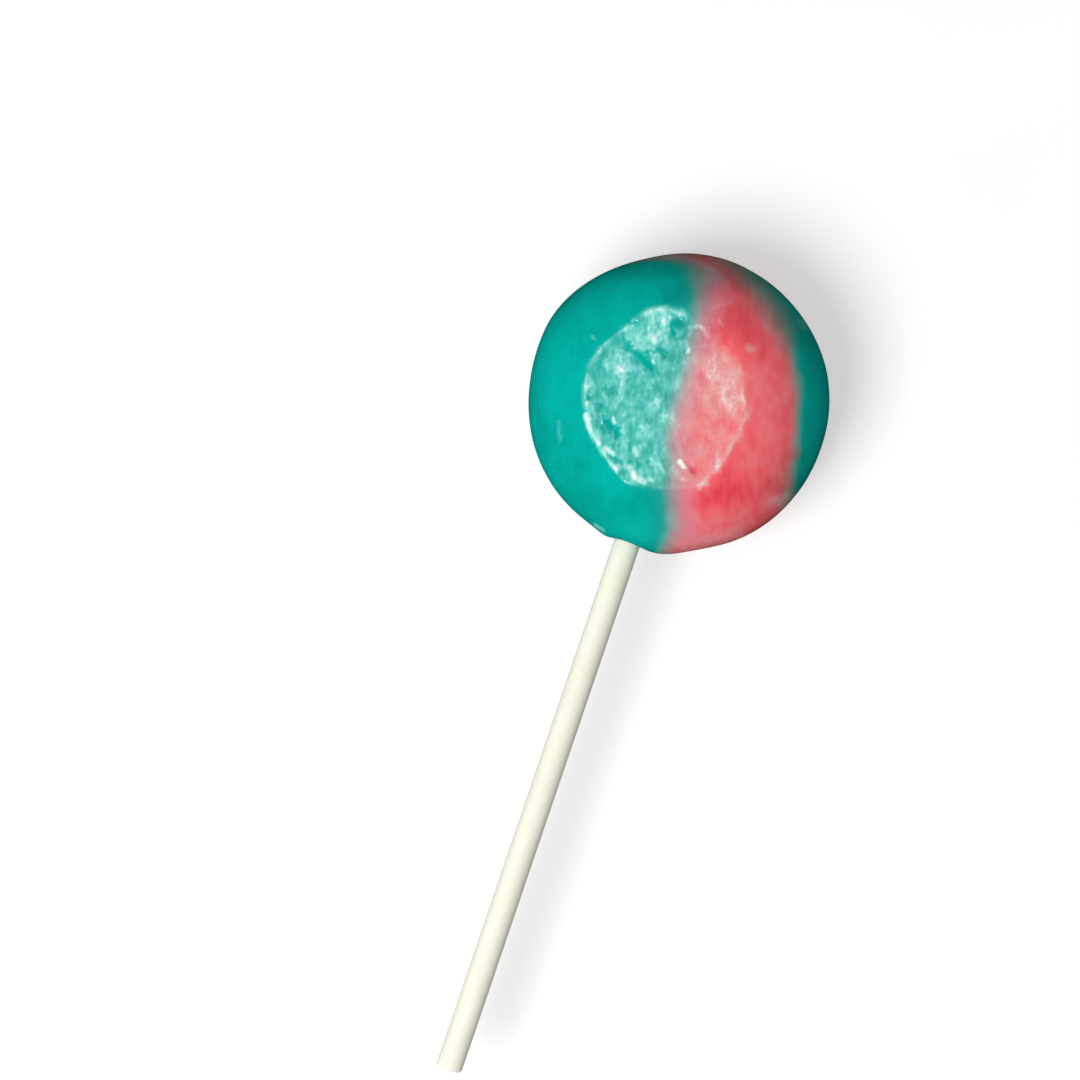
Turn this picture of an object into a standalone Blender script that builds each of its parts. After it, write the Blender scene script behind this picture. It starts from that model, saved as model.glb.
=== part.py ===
"""A flattened ball lollipop: a pressed head of boiled sugar on a rolled paper stick.

It lies on the flat facet of its back with the shown face up, in metres, with +Z up.
The origin is the middle of that resting facet, and the stick runs along -Y, level with the head's middle.
"""

import math

import bmesh
import bpy
from mathutils import Matrix, Vector, noise

MM = 0.001

# Driving sizes: the stick is a stock 3.5 x 89 mm paper stick, and the rest are counted in its diameters.
STICK_DIAMETER = 3.5 * MM
STICK_LENGTH = 89.0 * MM
STICK_SHOWS = 20.4 * STICK_DIAMETER
HEAD_DIAMETER = 11.0 * STICK_DIAMETER
HEAD_THICKNESS = 6.3 * STICK_DIAMETER
FACET_ACROSS_GRAIN = 6.1 * STICK_DIAMETER
FACET_ALONG_GRAIN = 6.7 * STICK_DIAMETER

HEAD_RADIUS = HEAD_DIAMETER / 2
HALF_THICKNESS = HEAD_THICKNESS / 2
STICK_RADIUS = STICK_DIAMETER / 2

# The flank is an oval arc that starts over this radius, and the press has flattened its crown into the facet.
FLANK_STARTS = 6.5 * MM
FLANK_FULLNESS = 2.1

# The colour bands and the fibres of the pulled sugar lie at this angle to the stick.
GRAIN_TURN = math.radians(18.2)

# Where the rim stands out or falls short of round, and the facet's border of its oval, as the press left them:
# direction in degrees, height, half width in degrees.
RIM_SWELLS = (
    (27, 0.20 * MM, 20),
    (121, -0.36 * MM, 17),
    (162, 0.40 * MM, 16),
    (226, 0.12 * MM, 20),
    (261, 0.28 * MM, 5),
    (281, 0.34 * MM, 9),
    (300, -0.22 * MM, 11),
)
FACET_SWELLS = (
    (24, -0.40 * MM, 14),
    (142, -0.90 * MM, 20),
    (224, -0.70 * MM, 21),
    (264, 0.45 * MM, 9),
    (312, 0.55 * MM, 12),
    (348, -0.45 * MM, 11),
)

# The shown facet is a little uneven, with a low lip just inside its border.
UNEVENNESS = 0.07 * MM
UNEVENNESS_SIZE = 5.0 * MM
LIP_HEIGHT = 0.10 * MM
LIP_INSET = 0.6 * MM
LIP_HALF_WIDTH = 0.45 * MM

# The stick went in a little to one side, and pushed a dent into the rim.
STICK_OFFSET = -0.4 * MM
STICK_ROUNDING = 0.4 * MM
SEAT_GAP = 0.3 * MM
DENT_OFFSET = STICK_OFFSET + 0.4 * MM
DENT_DEPTH = 0.55 * MM
DENT_HALF_WIDTH = 2.2 * MM

# The pink band, seen from above: its left edge swings once and curls at its lower end, and its right edge
# bows out along the rim, more sharply above its widest place than below it.
LEFT_EDGE = 2.7 * MM
LEFT_SWING = 1.95 * MM
LEFT_SWING_AT = 4.3 * MM
LEFT_SWING_LENGTH = 7.0 * MM
LEFT_CURL = 0.12 / MM
LEFT_CURL_FROM = -15.0 * MM
RIGHT_EDGE = 16.35 * MM
RIGHT_BOW_AT = -0.5 * MM
RIGHT_BOW_ABOVE = 0.0255 / MM
RIGHT_BOW_BELOW = 0.0115 / MM

# Low on the rim the pink runs on to the left, and below the rim the whole band turns a little.
SPREAD = 9.0 * MM
SPREAD_FROM = 12.0 * MM
SPREAD_BELOW = 6.0 * MM
SPREAD_SOFTNESS = 3.5 * MM
BAND_TWIST = math.radians(20)

# Fineness of the meshes
ROUND_STEPS = 76
FACET_RINGS = 8
FACET_RING_CROWDING = 1.7
FLANK_RINGS = 14
STICK_STEPS = 36
STICK_ROUNDING_STEPS = 4
SHARP_ANGLE = math.radians(30)


def clear_scene():
    for obj in list(bpy.data.objects):
        bpy.data.objects.remove(obj)


def smooth_step(value):
    """0 below 0, 1 above 1, and a smooth rise between."""
    value = min(1.0, max(0.0, value))
    return value * value * (3 - 2 * value)


def hump(distance, half_width):
    """1 in the middle of a smooth hump, fading away from it."""
    return math.exp(-((distance / half_width) ** 2))


def material(name, colour, roughness, subsurface=0.0):
    made = bpy.data.materials.new(name)
    made.use_nodes = True
    made.diffuse_color = (*colour, 1)
    shader = made.node_tree.nodes["Principled BSDF"]
    shader.inputs["Base Color"].default_value = (*colour, 1)
    shader.inputs["Roughness"].default_value = roughness
    shader.inputs["Metallic"].default_value = 0.0
    shader.inputs["Subsurface Weight"].default_value = subsurface
    shader.inputs["Subsurface Scale"].default_value = STICK_RADIUS
    return made


def new_object(name, form, location, *materials):
    """An object made from a bmesh, which it uses up."""
    mesh = bpy.data.meshes.new(name)
    bmesh.ops.recalc_face_normals(form, faces=form.faces)
    form.to_mesh(mesh)
    form.free()
    for each in materials:
        mesh.materials.append(each)
    mesh.shade_smooth()
    mesh.set_sharp_from_angle(angle=SHARP_ANGLE)
    obj = bpy.data.objects.new(name, mesh)
    obj.location = location
    bpy.context.scene.collection.objects.link(obj)
    return obj


def closed_over_rings(rings, first_tip, last_tip):
    """A closed bmesh: quads between the rings, and a fan of triangles to a tip at each end."""
    form = bmesh.new()
    loops = [[form.verts.new(point) for point in ring] for ring in rings]
    for above, below in zip(loops, loops[1:]):
        for step in range(len(above)):
            form.faces.new((above[step - 1], below[step - 1], below[step], above[step]))
    for loop, tip in ((loops[0], first_tip), (loops[-1], last_tip)):
        middle = form.verts.new(tip)
        for step in range(len(loop)):
            form.faces.new((loop[step - 1], loop[step], middle))
    return form


def across_and_along_grain(x, y):
    """A point's two distances from the head's middle, square to the sugar's fibres and along them."""
    cos_turn, sin_turn = math.cos(GRAIN_TURN), math.sin(GRAIN_TURN)
    return x * cos_turn + y * sin_turn, y * cos_turn - x * sin_turn


def swell(angle, bumps):
    """The sum of smooth bumps round the head, each with its direction, height and half width."""
    total = 0.0
    for direction, height, half_width in bumps:
        away = (math.degrees(angle) - direction + 180) % 360 - 180
        total += height * hump(away, half_width)
    return total


def rim_radius(angle):
    """The head's radius at its widest."""
    return HEAD_RADIUS + swell(angle, RIM_SWELLS)


def facet_radius(angle):
    """The border of the flat facet: an uneven oval, longer along the grain."""
    across, along = across_and_along_grain(math.cos(angle), math.sin(angle))
    oval = 1 / math.hypot(across / (FACET_ACROSS_GRAIN / 2), along / (FACET_ALONG_GRAIN / 2))
    return oval + swell(angle, FACET_SWELLS)


def facet_point(angle, share, side):
    """A point of the facet: share runs from 0 at its middle to 1 at its border."""
    radius = facet_radius(angle) * share
    inset = facet_radius(angle) - radius
    x, y = radius * math.cos(angle), radius * math.sin(angle)
    if side < 0:
        return x, y, -HALF_THICKNESS
    bump = UNEVENNESS * noise.noise(Vector((x, y, 0)) / UNEVENNESS_SIZE) * smooth_step(inset / LIP_INSET)
    lip = LIP_HEIGHT * hump(inset - LIP_INSET, LIP_HALF_WIDTH)
    return x, y, HALF_THICKNESS + bump + lip * (share < 1)


def flank_point(angle, share, side):
    """A point of the flank: share runs from 0 at the facet's border to 1 at the rim."""
    width = rim_radius(angle) - FLANK_STARTS
    power = 2 / FLANK_FULLNESS
    start = math.asin(((facet_radius(angle) - FLANK_STARTS) / width) ** (1 / power))
    crown = HALF_THICKNESS / math.cos(start) ** power
    turn = start + (math.pi / 2 - start) * share
    radius = FLANK_STARTS + width * math.sin(turn) ** power
    height = crown * max(0.0, math.cos(turn)) ** power
    x, y = radius * math.cos(angle), radius * math.sin(angle)
    if y < 0:
        y += DENT_DEPTH * hump(x - DENT_OFFSET, DENT_HALF_WIDTH) * hump(height, DENT_HALF_WIDTH)
    return x, y, side * height


def half_head_rings(side):
    """Rings of points from the facet's middle out to the rim: side is 1 for the shown half, -1 for the other."""
    angles = [2 * math.pi * step / ROUND_STEPS for step in range(ROUND_STEPS)]
    rings = []
    for step in range(1, FACET_RINGS + 1):
        share = 1 - (1 - step / FACET_RINGS) ** FACET_RING_CROWDING
        rings.append([facet_point(angle, share, side) for angle in angles])
    for step in range(1, FLANK_RINGS + 1):
        rings.append([flank_point(angle, step / FLANK_RINGS, side) for angle in angles])
    return rings


def in_pink_band(point):
    """Whether a point of the head lies between the two edges of the pink band."""
    below_rim = smooth_step(-point.z / HALF_THICKNESS)
    turned = Matrix.Rotation(BAND_TWIST * below_rim, 3, "Z") @ point
    across, along = across_and_along_grain(turned.x, turned.y)
    left = LEFT_EDGE + LEFT_SWING * math.tanh((along - LEFT_SWING_AT) / LEFT_SWING_LENGTH)
    left -= LEFT_CURL * max(0.0, LEFT_CURL_FROM - along) ** 2
    low = smooth_step((SPREAD_BELOW - point.z) / SPREAD_SOFTNESS)
    left -= SPREAD * low * smooth_step((along - SPREAD_FROM) / SPREAD_SOFTNESS)
    bow = RIGHT_BOW_ABOVE if along > RIGHT_BOW_AT else RIGHT_BOW_BELOW
    right = RIGHT_EDGE - bow * (along - RIGHT_BOW_AT) ** 2
    return left < across < right


def socket_cutter():
    """The blind round socket for the stick, with the small seat gap all round."""
    mouth = -HEAD_RADIUS - STICK_DIAMETER
    bottom = STICK_LENGTH - STICK_SHOWS - HEAD_RADIUS + SEAT_GAP
    form = bmesh.new()
    bmesh.ops.create_cone(
        form,
        cap_ends=True,
        segments=STICK_STEPS,
        radius1=STICK_RADIUS + SEAT_GAP,
        radius2=STICK_RADIUS + SEAT_GAP,
        depth=bottom - mouth,
        matrix=Matrix.Translation((0, (bottom + mouth) / 2, 0)) @ Matrix.Rotation(math.pi / 2, 4, "X"),
    )
    cutter = new_object("socket_cutter", form, (STICK_OFFSET, 0, HALF_THICKNESS))
    cutter.hide_render = True
    cutter.display_type = "WIRE"
    return cutter


def build_head(teal, pink):
    """The head: one fused piece of two-coloured sugar, with a socket for the stick."""
    rings = half_head_rings(1) + half_head_rings(-1)[-2::-1]
    form = closed_over_rings(rings, (0, 0, HALF_THICKNESS), (0, 0, -HALF_THICKNESS))
    for face in form.faces:
        face.material_index = int(in_pink_band(face.calc_center_median()))
    head = new_object("candy_head", form, (0, 0, HALF_THICKNESS), teal, pink)
    socket = head.modifiers.new("socket", "BOOLEAN")
    socket.operation = "DIFFERENCE"
    socket.solver = "EXACT"
    socket.object = socket_cutter()


def build_stick(paper):
    """The rolled paper stick along -Y, with its corners rounded at both ends."""
    half_length = STICK_LENGTH / 2
    turns = [math.pi / 2 * step / STICK_ROUNDING_STEPS for step in range(STICK_ROUNDING_STEPS + 1)]
    angles = [2 * math.pi * step / STICK_STEPS for step in range(STICK_STEPS)]
    rings = []
    for end in (-1, 1):
        for turn in turns[::end]:
            radius = STICK_RADIUS - STICK_ROUNDING * (1 - math.cos(turn))
            along = end * (half_length - STICK_ROUNDING * (1 - math.sin(turn)))
            rings.append([(radius * math.cos(angle), along, radius * math.sin(angle)) for angle in angles])
    form = closed_over_rings(rings, (0, -half_length, 0), (0, half_length, 0))
    middle = half_length - HEAD_RADIUS - STICK_SHOWS
    new_object("paper_stick", form, (STICK_OFFSET, middle, HALF_THICKNESS), paper)


def main():
    clear_scene()
    teal = material("teal_sugar", (0.001, 0.46, 0.39), roughness=0.16, subsurface=0.3)
    pink = material("pink_sugar", (0.74, 0.11, 0.13), roughness=0.18, subsurface=0.3)
    paper = material("cream_paper", (0.90, 0.89, 0.76), roughness=0.75)
    build_head(teal, pink)
    build_stick(paper)


main()
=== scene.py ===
"""Looks of a flattened ball lollipop: glassy two-coloured sugar, frosted facets and a rolled paper stick."""

import math

import bmesh
import bpy
import numpy as np
from mathutils import Matrix, Vector, noise


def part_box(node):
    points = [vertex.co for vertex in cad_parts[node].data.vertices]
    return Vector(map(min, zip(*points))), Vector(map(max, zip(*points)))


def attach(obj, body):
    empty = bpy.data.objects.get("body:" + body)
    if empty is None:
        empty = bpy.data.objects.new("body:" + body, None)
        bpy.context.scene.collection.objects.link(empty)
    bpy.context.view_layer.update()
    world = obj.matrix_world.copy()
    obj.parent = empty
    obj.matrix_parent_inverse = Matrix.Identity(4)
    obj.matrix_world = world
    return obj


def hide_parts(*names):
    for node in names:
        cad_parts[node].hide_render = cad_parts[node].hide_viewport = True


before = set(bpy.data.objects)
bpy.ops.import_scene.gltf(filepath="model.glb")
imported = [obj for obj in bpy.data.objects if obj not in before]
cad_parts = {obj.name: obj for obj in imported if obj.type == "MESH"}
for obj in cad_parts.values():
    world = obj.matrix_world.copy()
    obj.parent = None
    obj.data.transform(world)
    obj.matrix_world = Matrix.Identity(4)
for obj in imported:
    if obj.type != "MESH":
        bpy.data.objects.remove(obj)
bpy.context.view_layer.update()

MM = 0.001

# Sizes read from the frame: the stick's box gives its diameter, its axis and the head's middle height.
STICK_LOW, STICK_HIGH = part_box("paper_stick")
HEAD_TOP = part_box("candy_head")[1][2]
STICK_DIAMETER = STICK_HIGH[2] - STICK_LOW[2]
STICK_RADIUS = STICK_DIAMETER / 2
STICK_X = (STICK_LOW[0] + STICK_HIGH[0]) / 2
FREE_END = STICK_LOW[1]
BURIED_END = STICK_HIGH[1]
HALF_THICKNESS = (STICK_LOW[2] + STICK_HIGH[2]) / 2

# The head's form, with the same driving ratios as its solid
HEAD_RADIUS = 11.0 * STICK_DIAMETER / 2
FACET_HALF_ACROSS = 6.1 * STICK_DIAMETER / 2
FACET_HALF_ALONG = 6.7 * STICK_DIAMETER / 2
FLANK_STARTS = 6.5 * MM
FLANK_FULLNESS = 2.1
GRAIN_TURN = math.radians(18.2)
UNEVENNESS = 0.07 * MM
UNEVENNESS_SIZE = 5.0 * MM
DENT_OFFSET = STICK_X + 0.4 * MM
DENT_DEPTH = 0.55 * MM
DENT_HALF_WIDTH = 2.2 * MM
SEAT_GAP = 0.02 * MM

# Swells round the head: direction in degrees from +X, height, half width in degrees
RIM_SWELLS = (
    (27, 0.20 * MM, 20),
    (121, -0.36 * MM, 17),
    (162, 0.40 * MM, 16),
    (226, 0.12 * MM, 20),
    (261, 0.28 * MM, 5),
    (281, 0.34 * MM, 9),
    (300, -0.22 * MM, 11),
)
FACET_SWELLS = (
    (24, -0.40 * MM, 14),
    (142, -0.90 * MM, 20),
    (224, -0.70 * MM, 21),
    (264, 0.45 * MM, 9),
    (312, 0.55 * MM, 12),
    (348, -0.45 * MM, 11),
)

# The shown facet's edge: crisp on the left, and rounded off at the upper right and a little at the bottom
EDGE_ROUNDING = 0.30 * MM
EDGE_SOFTENINGS = (
    (72, 1.3 * MM, 36),
    (285, 0.5 * MM, 22),
)
EDGE_SLOPE = 0.31
LIP_HEIGHT = 0.10 * MM
LIP_INSET = 0.45 * MM
LIP_HALF_WIDTH = 0.28 * MM
# The lip's whitening is a painted highlight
LIP_HIGHLIGHT = 0.14

# Fine relief: the facets' crust and the gaps in it, and the slight waves and the mould's seam on the flank
CRUST_DEPTH = 0.06 * MM
GAP_DEPTH = 0.12 * MM
CHIP_HEIGHT = 0.04 * MM
WAVE_DEPTH = 0.05 * MM
WAVE_SIZE = 4.0 * MM
SEAM_DEPTH = 0.04 * MM
SEAM_HALF_WIDTH = 0.35 * MM
SEAM_BREAK_SIZE = 1.6 * MM
SEAM_KEPT = 0.6

# How the seam wanders up and down: waves round the head, and the reach of each
SEAM_WAVES = (
    (3, 0.12 * MM),
    (11, 0.05 * MM),
)

# Sizes of the noise across the grain, along it and through the head
CREST_SIZE = (0.9 * MM, 1.4 * MM, 1.5 * MM)
FINE_CREST_SIZE = (0.44 * MM, 0.62 * MM, 0.7 * MM)
STREAK_SIZE = (0.34 * MM, 1.7 * MM, 1.7 * MM)
PATCH_SIZE = (1.2 * MM, 1.8 * MM, 2.0 * MM)
CLOUD_SIZE = (2.2 * MM, 3.4 * MM, 3.0 * MM)
BLOTCH_SIZE = (0.9 * MM, 1.5 * MM, 1.5 * MM)
WOBBLE_SIZE = (1.0 * MM, 2.4 * MM, 2.4 * MM)
FRAY_SIZE = (0.35 * MM, 1.6 * MM, 1.6 * MM)

# The crust has coarse and fine crests. The shown facet's frosting is an even haze with patches, grit and
# flecks, which are weaker in the pink; its whiteness is partly painted sheen, and the flecks are painted
# glints.
# The back facet's is an even haze and what its crests add
COARSE_CRESTS = 0.6
FINE_CRESTS = 0.5
EVEN_HAZE = 0.15
PATCHINESS = 1.1
CREST_GRIT = 1.2
STREAK_GRIT = 0.35
FLECKS_FROM = 0.7
FLECKS_OVER = 0.25
FLECKS = 0.06
HAZE_FLECKS = 0.4
HAZE_FLECKS_FROM = 0.1
HAZE_FLECKS_OVER = 0.3
LESS_PATCHY_PINK = 0.2
LESS_GRITTY_PINK = 0.5
LESS_FLECKED_PINK = 0.7
BACK_HAZE = 0.05
BACK_CRUST = 0.25

# The pink band's edges and how softly each blends. Before they waver they are within 0.6 mm of the solid's
# on the shown side, except the left one close to the far rim, where the band spreads
LEFT_EDGE = 3.05 * MM
LEFT_SWING = 1.8 * MM
LEFT_SWING_AT = 4.3 * MM
LEFT_SWING_LENGTH = 7.0 * MM
LEFT_DIP = 0.6 * MM
LEFT_DIP_AT = -4.5 * MM
LEFT_DIP_HALF_LENGTH = 3.5 * MM
LEFT_CURL = 0.12 / MM
LEFT_CURL_FROM = -15.0 * MM
LEFT_BLEND = 3.6 * MM
LEFT_WIDENS_BY = 5.0 * MM
LEFT_WIDENS_FROM = 13.0 * MM
LEFT_WIDENS_OVER = 3.5 * MM
LEFT_LEAN = 0.45 * MM
RIGHT_EDGE = 16.2 * MM
RIGHT_BOW_AT = -0.5 * MM
RIGHT_BOW_ABOVE = 0.0268 / MM
RIGHT_BOW_BELOW = 0.0115 / MM
RIGHT_BLEND = 1.9 * MM
RIGHT_WIDENS_BY = 4.5 * MM
RIGHT_WIDENS_FROM = 3.0 * MM
RIGHT_WIDENS_OVER = 9.0 * MM
BAND_WOBBLE = 0.22 * MM
BAND_FRAY = 0.12 * MM
RIGHT_WAVERS_BY = 1.3

# Over the head's far end the band spreads to the left, and on its way to the back it twists
SPREAD = 8.0 * MM
SPREAD_FROM = 12.0 * MM
SPREAD_BELOW = 8.0 * MM
SPREAD_SOFTNESS = 5.0 * MM
BAND_TWIST = math.radians(20)

# How far below the rim the soft marks fade out
RIM_FADE = 6.0 * MM

# Along its left edge the band has a lilac cast, with paler pink and deeper teal beside it
LILAC_AT = 0.9 * MM
LILAC_HALF_WIDTH = 2.0 * MM
LILAC_SHARE = 0.3
PALE_BESIDE = 1.7 * MM
PALE_HALF_WIDTH = 1.1 * MM
PALER_BY = 0.25
DEEP_BESIDE = -2.2 * MM
DEEP_HALF_WIDTH = 1.3 * MM
DEEPER_BY = 0.4

# How deep the colour is on the whole, and how far clouds, blotches and the painted shade in the crust's
# hollows change it
EVEN_DEPTH = 0.4
CLOUD_DEPTH = 0.22
BLOTCH_DEPTH = 0.22
TROUGH_SHADE = 0.5

# Marks on the shown side, each a straight stroke that wavers: across and along the grain at both ends,
# half width and amount, all in mm but the amount. Thin places in the pink, where the teal shows through:
THIN_PINK = (
    (2.5, 18.6, 12.5, 15.0, 2.0, 0.27),
    (-5.0, 18.6, 1.5, 19.0, 1.5, 0.35),
    (8.0, 17.6, 10.5, 16.6, 1.2, 0.16),
    (15.4, -8.0, 13.9, -12.2, 1.8, 0.15),
)

# Deeper colour where the amount is above 0, and paler below 0. The deeper marks inside the band are the
# sugar's own deeper patches; those near the rims, at the top, the right and the left, are painted shade, and
# the paler marks at the rims and on the upper right flank are painted highlights
TONE_SHADE_AND_HIGHLIGHT_MARKS = (
    (8.8, 9.7, 10.6, 8.2, 2.2, 0.35),
    (5.4, 10.2, 6.1, 8.6, 1.1, 0.50),
    (7.0, -11.5, 9.8, -11.8, 1.9, 0.40),
    (4.8, -12.9, 5.6, -13.0, 1.2, 0.35),
    (12.0, -9.0, 12.6, -10.6, 1.0, 0.25),
    (2.8, -8.3, 3.5, -9.1, 0.7, 0.50),
    (4.5, 3.2, 4.9, 1.2, 0.6, 0.35),
    (12.2, 9.4, 12.9, 8.6, 0.9, -0.35),
    (11.9, 3.0, 12.6, -6.5, 2.2, -0.10),
    (1.5, -18.5, 8.5, -16.9, 0.8, -0.45),
    (13.3, -12.8, 13.6, -13.1, 0.7, -0.40),
    (19.0, 7.0, 19.0, -7.0, 1.1, -0.25),
    (-6.0, 16.4, 1.5, 16.6, 1.4, 0.35),
    (0.5, 13.0, 5.2, 13.6, 1.4, 0.55),
    (-4.0, -13.6, 2.8, -12.6, 2.2, 0.40),
    (2.0, 17.0, 11.0, 15.2, 1.6, 0.55),
    (15.8, 8.0, 13.0, 12.5, 1.4, 0.35),
    (16.2, -7.0, 14.8, -11.0, 1.2, 0.45),
    (-18.0, 2.0, -16.0, -6.0, 1.3, 0.25),
    (-14.2, -6.0, -10.0, -12.0, 2.8, 0.38),
    (-12.4, -12.0, -8.0, -15.2, 1.8, 0.30),
)

# Haze of the frosting, thicker above 0 and thinner below 0. Its whiteness is partly the crust's own frosting
# and partly painted sheen, and the stroke along the bottom rim is a painted reflection
HAZE_AND_SHEEN = (
    (-3.2, 7.2, -0.7, 7.6, 1.1, 0.28),
    (-2.4, 8.6, -0.5, 9.6, 1.1, 0.20),
    (-3.4, 10.4, -0.4, 11.2, 0.6, 0.14),
    (0.0, 10.6, 0.0, 8.8, 0.4, 0.16),
    (0.9, 11.0, 2.3, 10.2, 0.5, 0.16),
    (-6.5, 4.3, -4.4, 4.1, 1.2, 0.17),
    (-5.9, 5.8, -6.2, 4.2, 0.9, 0.12),
    (-5.4, 3.2, -5.6, 0.3, 0.7, 0.11),
    (-9.2, 3.6, -9.0, -1.6, 1.0, 0.06),
    (-4.0, -0.5, -2.0, -5.0, 2.4, 0.03),
    (-5.4, -7.4, -1.6, -10.0, 1.2, 0.10),
    (-7.4, -0.3, -6.8, -0.9, 0.5, 0.08),
    (4.4, 8.0, 5.2, 5.8, 1.4, -0.26),
    (5.0, 10.6, 5.8, 9.4, 1.0, -0.15),
    (6.2, 4.6, 7.6, -0.4, 2.2, 0.26),
    (5.6, 4.4, 6.2, 3.0, 0.7, 0.10),
    (8.6, 2.6, 8.9, 0.2, 0.7, 0.10),
    (4.2, -3.0, 6.5, -6.5, 2.4, -0.02),
    (6.6, -6.9, 6.8, -9.0, 0.5, 0.16),
    (10.8, -1.2, 9.2, -5.4, 0.5, 0.15),
    (9.0, -5.8, 4.6, -10.9, 0.5, 0.12),
    (7.0, 8.8, 10.0, 7.6, 2.4, -0.20),
    (6.0, 11.5, 10.0, 9.5, 1.8, -0.20),
    (13.6, -12.6, 14.4, -11.9, 0.5, 0.14),
    (1.5, -18.5, 8.5, -16.9, 0.8, 0.06),
)

# Smooth gaps in the frosting, where the glassy sugar shows
GAPS = (
    (-4.9, 6.6, -3.6, 5.4, 0.50, 0.95),
    (-3.4, 5.2, -2.2, 4.2, 0.82, 1.0),
    (-3.1, 5.7, -0.6, 6.0, 0.28, 0.8),
    (-0.5, 6.0, -0.1, 5.2, 0.34, 0.9),
    (-1.3, 3.8, -1.2, 2.9, 0.24, 0.5),
    (0.6, 9.4, 1.6, 9.3, 0.56, 1.0),
    (0.6, 9.0, 0.9, 8.0, 0.46, 1.0),
    (-4.3, 9.2, -4.0, 9.4, 0.30, 0.8),
    (-5.5, 7.8, -5.4, 7.4, 0.30, 0.7),
    (-8.5, 4.4, -8.5, 4.0, 0.34, 0.7),
    (-4.7, 3.1, -4.6, 2.1, 0.26, 0.7),
    (-7.6, 1.0, -7.2, 0.8, 0.36, 0.6),
    (-9.9, 0.1, -9.8, -0.3, 0.36, 0.8),
    (-8.5, -0.7, -8.4, -1.3, 0.36, 0.7),
    (-1.2, 1.4, -1.0, 1.0, 0.34, 0.5),
    (-8.6, -2.6, -8.1, -3.8, 0.34, 0.6),
    (-7.7, -3.0, -6.1, -3.9, 0.40, 1.0),
    (-6.3, -4.0, -6.1, -5.0, 0.48, 1.0),
    (-6.8, -7.5, -4.9, -8.4, 0.30, 0.8),
    (-4.4, -5.8, -4.3, -8.1, 0.22, 0.7),
    (-3.3, -8.2, -3.3, -9.6, 0.22, 0.6),
    (-2.1, -8.0, -1.4, -9.7, 0.30, 0.6),
    (3.0, -8.6, 3.8, -9.2, 0.42, 1.0),
    (4.5, 3.2, 4.8, 1.4, 0.36, 0.3),
    (5.9, 9.6, 6.1, 8.7, 0.40, 0.8),
)

# Chipped sugar, raised a little, whose white is a painted glint where it catches the light; the first
# strokes are a painted highlight along the facet's lower left lip, and the one at the bottom left rim is a
# painted reflection
CHIPS_AND_GLINTS = (
    (-10.2, -2.2, -9.3, -4.5, 0.32, 1.0),
    (-9.3, -4.5, -8.5, -5.8, 0.26, 0.85),
    (-8.4, -6.3, -7.2, -8.0, 0.18, 0.3),
    (-7.2, -8.0, -5.9, -9.1, 0.20, 0.35),
    (-7.5, -6.4, -6.5, -7.1, 0.28, 0.65),
    (-5.2, -8.4, -5.0, -8.7, 0.24, 0.5),
    (-4.3, -8.9, -3.8, -10.0, 0.38, 0.8),
    (-3.1, -10.4, -2.6, -10.6, 0.38, 0.6),
    (-2.0, -10.2, -1.5, -10.4, 0.26, 0.4),
    (-0.6, -8.5, -0.1, -9.4, 0.22, 0.35),
    (-3.8, -6.4, -3.5, -7.2, 0.26, 0.4),
    (-6.6, -2.6, -6.4, -3.2, 0.20, 0.55),
    (-2.3, -3.6, -2.1, -3.7, 0.18, 0.25),
    (-10.4, 1.5, -10.3, -1.9, 0.20, 0.14),
    (-9.8, 3.9, -8.3, 6.3, 0.26, 0.13),
    (-8.3, 6.3, -5.1, 8.9, 0.22, 0.06),
    (-3.0, 10.8, -0.1, 11.4, 0.22, 0.16),
    (-0.9, 11.2, -0.7, 11.0, 0.28, 0.5),
    (-0.1, 11.4, 2.2, 10.3, 0.22, 0.20),
    (-0.3, 9.7, -0.1, 9.2, 0.20, 0.35),
    (-1.6, 7.3, -1.5, 7.1, 0.30, 0.4),
    (-5.5, 2.7, -5.6, 2.1, 0.19, 0.25),
    (-1.6, 4.7, -1.5, 4.4, 0.19, 0.6),
    (3.0, 8.9, 4.3, 9.0, 0.24, 0.45),
    (4.3, 9.0, 5.4, 7.6, 0.20, 0.55),
    (3.1, 8.7, 3.0, 7.8, 0.24, 0.25),
    (3.0, 6.3, 2.9, 6.0, 0.23, 0.75),
    (2.9, 6.0, 2.7, 5.6, 0.16, 0.4),
    (1.9, -8.1, 2.6, -8.7, 0.26, 0.95),
    (10.8, -1.3, 10.2, -2.7, 0.28, 0.24),
    (9.6, -4.0, 9.2, -5.2, 0.28, 0.26),
    (8.8, -5.8, 8.1, -6.8, 0.20, 0.12),
    (6.7, -8.0, 6.8, -9.1, 0.30, 0.12),
    (4.5, -11.3, 5.4, -10.7, 0.26, 0.38),
    (2.3, -10.1, 2.9, -10.3, 0.20, 0.35),
    (5.8, 11.3, 6.7, 11.9, 0.17, 0.22),
    (6.7, 11.9, 7.8, 11.9, 0.15, 0.15),
    (6.5, 10.0, 7.1, 9.0, 0.17, 0.22),
    (4.5, 6.5, 6.2, 6.7, 0.16, 0.15),
    (10.4, 6.3, 10.8, 6.2, 0.40, 0.32),
    (10.0, 3.0, 10.9, 2.5, 0.28, 0.12),
    (-9.4, 7.6, -9.2, 7.5, 0.22, 0.2),
    (-13.8, -3.2, -13.7, -5.4, 0.18, 0.10),
    (-9.8, -15.9, -8.8, -16.6, 0.24, 0.4),
    (15.9, 10.3, 16.5, 9.2, 0.30, 0.1),
)

# How the strokes waver, as noise sizes and reaches, and the share of it that the chipped places and their
# painted glints follow
WAVERS = (
    (1.4 * MM, 0.32 * MM),
    (0.5 * MM, 0.16 * MM),
)
CHIP_WAVER = 0.4

# The firm marks' edges: how sharp they are, and how far they are drawn in and out, in mm
SHARPNESS = 0.7
RAGGEDNESS = 0.24

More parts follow.
